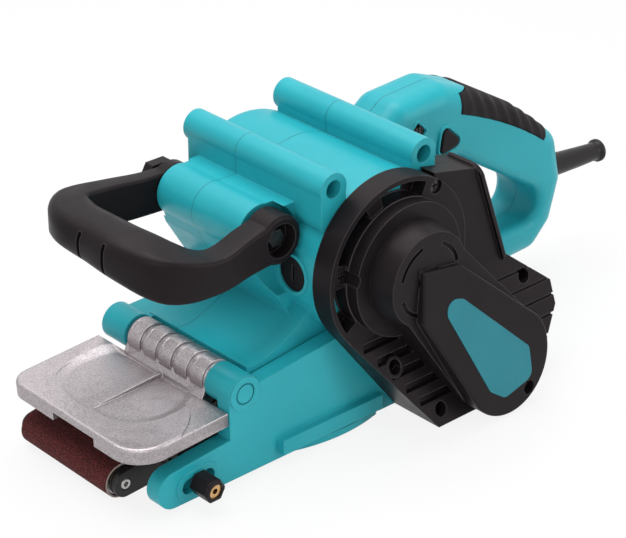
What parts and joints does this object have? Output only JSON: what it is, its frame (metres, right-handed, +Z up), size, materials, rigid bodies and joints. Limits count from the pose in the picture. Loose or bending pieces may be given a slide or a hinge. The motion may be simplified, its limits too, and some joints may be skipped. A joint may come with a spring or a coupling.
{
  "type": "belt sander",
  "caption": "Hand-held belt sander: sanding belt over rollers, cross-wise motor, rear D-handle with trigger, tilting front handle, hinged nose lid and vented side drive cover.",
  "frame": {"origin": "centre of the sanding belt's flat lower face, half way between the two roller axes", "axes": "+X towards the rear handle, -Y towards the drive cover, +Z up away from the work"},
  "size_m": [0.4329, 0.1721, 0.1622],
  "materials": {
    "teal_plastic": "satin moulded plastic with a fine grain",
    "black_plastic": "satin moulded plastic with a fine grain",
    "soft_grip": "matt moulded rubber with raised pads",
    "boot_rubber": "matt moulded rubber",
    "cast_aluminium": "die cast, lightly grained",
    "steel": "turned",
    "black_enamel": "painted cast metal",
    "screw_steel": "zinc plated and dulled",
    "spring_steel": "drawn wire",
    "abrasive_cloth": "resin bonded grit on cloth",
    "graphite_pad": "matt graphite on canvas",
    "tyre_rubber": "ground rubber",
    "band_rubber": "ribbed rubber",
    "bearing_steel": "ground",
    "lamination_steel": "stacked laminations",
    "copper": "lacquered",
    "carbon": "pressed carbon",
    "brass": "turned",
    "pulley_aluminium": "turned",
    "badge_foil": "bare satin plate",
    "dial_plastic": "ribbed moulded plastic"
  },
  "bodies": {
    "base": {"housing_near": "teal_plastic", "housing_far": "teal_plastic", "housing_screws": "screw_steel", "grip_pad": "soft_grip", "cord_sleeve": "boot_rubber", "lid_pin": "steel", "sanding_belt": "abrasive_cloth", "platen": "steel", "platen_pad": "graphite_pad", "belt_frame": "cast_aluminium", "frame_screws": "screw_steel", "tension_spring": "spring_steel", "lever_pin": "steel", "shaft_bearings": "bearing_steel", "drive_belt": "band_rubber", "motor_bearings": "bearing_steel", "field_core": "lamination_steel", "field_coils": "copper", "brush_holders": "brass", "carbon_brushes": "carbon", "brush_springs": "spring_steel", "brush_caps": "black_plastic", "fan_cover": "black_plastic", "drive_cover": "black_plastic", "badge": "badge_foil", "cover_screws": "screw_steel", "switch_module": "black_plastic"},
    "drive": {"drive_roller": "cast_aluminium", "drive_tyre": "tyre_rubber", "drive_shaft": "steel", "driven_pulley": "pulley_aluminium", "shaft_nut": "screw_steel"},
    "rotor": {"rotor_shaft": "steel", "armature": "lamination_steel", "armature_winding": "copper", "commutator": "copper", "fan": "black_plastic", "motor_pulley": "pulley_aluminium"},
    "yoke": {"roller_yoke": "black_enamel", "front_axle": "steel"},
    "idler": {"front_roller": "cast_aluminium", "front_bushes": "brass"},
    "lever": {"tension_lever": "teal_plastic"},
    "lid": {"front_lid": "cast_aluminium"},
    "handle": {"front_handle": "black_plastic", "handle_bolt": "screw_steel"},
    "knob": {"handle_knob": "black_plastic"},
    "tracking": {"tracking_knob": "black_plastic", "tracking_insert": "brass", "tracking_screw": "steel"},
    "trigger": {"trigger": "black_plastic"},
    "lock": {"lock_button": "black_plastic"},
    "dial": {"speed_dial": "dial_plastic"}
  },
  "joints": [
    {"name": "drive_spin", "type": "hinge", "parent": "base", "child": "drive", "pos_m": [0.10297, 0, 0.0285], "axis": [0, 1, 0], "continuous": true},
    {"name": "rotor_spin", "type": "hinge", "parent": "base", "child": "rotor", "pos_m": [0.057, 0, 0.1015], "axis": [0, 1, 0], "continuous": true},
    {"name": "yoke_slide", "type": "slide", "parent": "base", "child": "yoke", "axis": [1, 0, 0], "range_m": [0, 0.006], "stiffness_N_per_m": 2000, "springref_m": -0.005, "deforming": ["tension_spring"]},
    {"name": "idler_spin", "type": "hinge", "parent": "yoke", "child": "idler", "pos_m": [-0.10297, 0, 0.01], "axis": [0, 1, 0], "continuous": true},
    {"name": "lever_swing", "type": "hinge", "parent": "base", "child": "lever", "pos_m": [0.052, -0.0656, 0.003], "axis": [0, 0, 1], "range_deg": [0, 70]},
    {"name": "lid_hinge", "type": "hinge", "parent": "base", "child": "lid", "pos_m": [-0.0427, 0, 0.054], "axis": [0, 1, 0], "range_deg": [0, 50]},
    {"name": "handle_tilt", "type": "hinge", "parent": "base", "child": "handle", "pos_m": [-0.004, 0, 0.1265], "axis": [0, 1, 0], "range_deg": [0, 60]},
    {"name": "knob_turn", "type": "hinge", "parent": "handle", "child": "knob", "pos_m": [-0.004, 0, 0.1265], "axis": [0, 1, 0], "range_deg": [-360, 360]},
    {"name": "tracking_turn", "type": "hinge", "parent": "base", "child": "tracking", "pos_m": [-0.076, 0, 0.0137], "axis": [0, -1, 0], "range_deg": [-360, 360]},
    {"name": "trigger_pull", "type": "slide", "parent": "base", "child": "trigger", "axis": [0.529, 0, 0.8486], "range_m": [0, 0.006], "stiffness_N_per_m": 800, "springref_m": -0.002},
    {"name": "lock_press", "type": "slide", "parent": "base", "child": "lock", "axis": [0, 1, 0], "range_m": [0, 0.0025], "stiffness_N_per_m": 600, "springref_m": -0.002},
    {"name": "dial_turn", "type": "hinge", "parent": "base", "child": "dial", "pos_m": [0.1326, -0.01, 0.135], "axis": [0, 0, 1], "range_deg": [-135, 135]}
  ],
  "couplings": [
    {"joint": "rotor_spin", "follows": "drive_spin", "ratio": 3.0769},
    {"joint": "idler_spin", "follows": "drive_spin", "ratio": 2.85},
    {"joint": "lever_swing", "follows": "yoke_slide", "rad_per_m": 203.6}
  ]
}
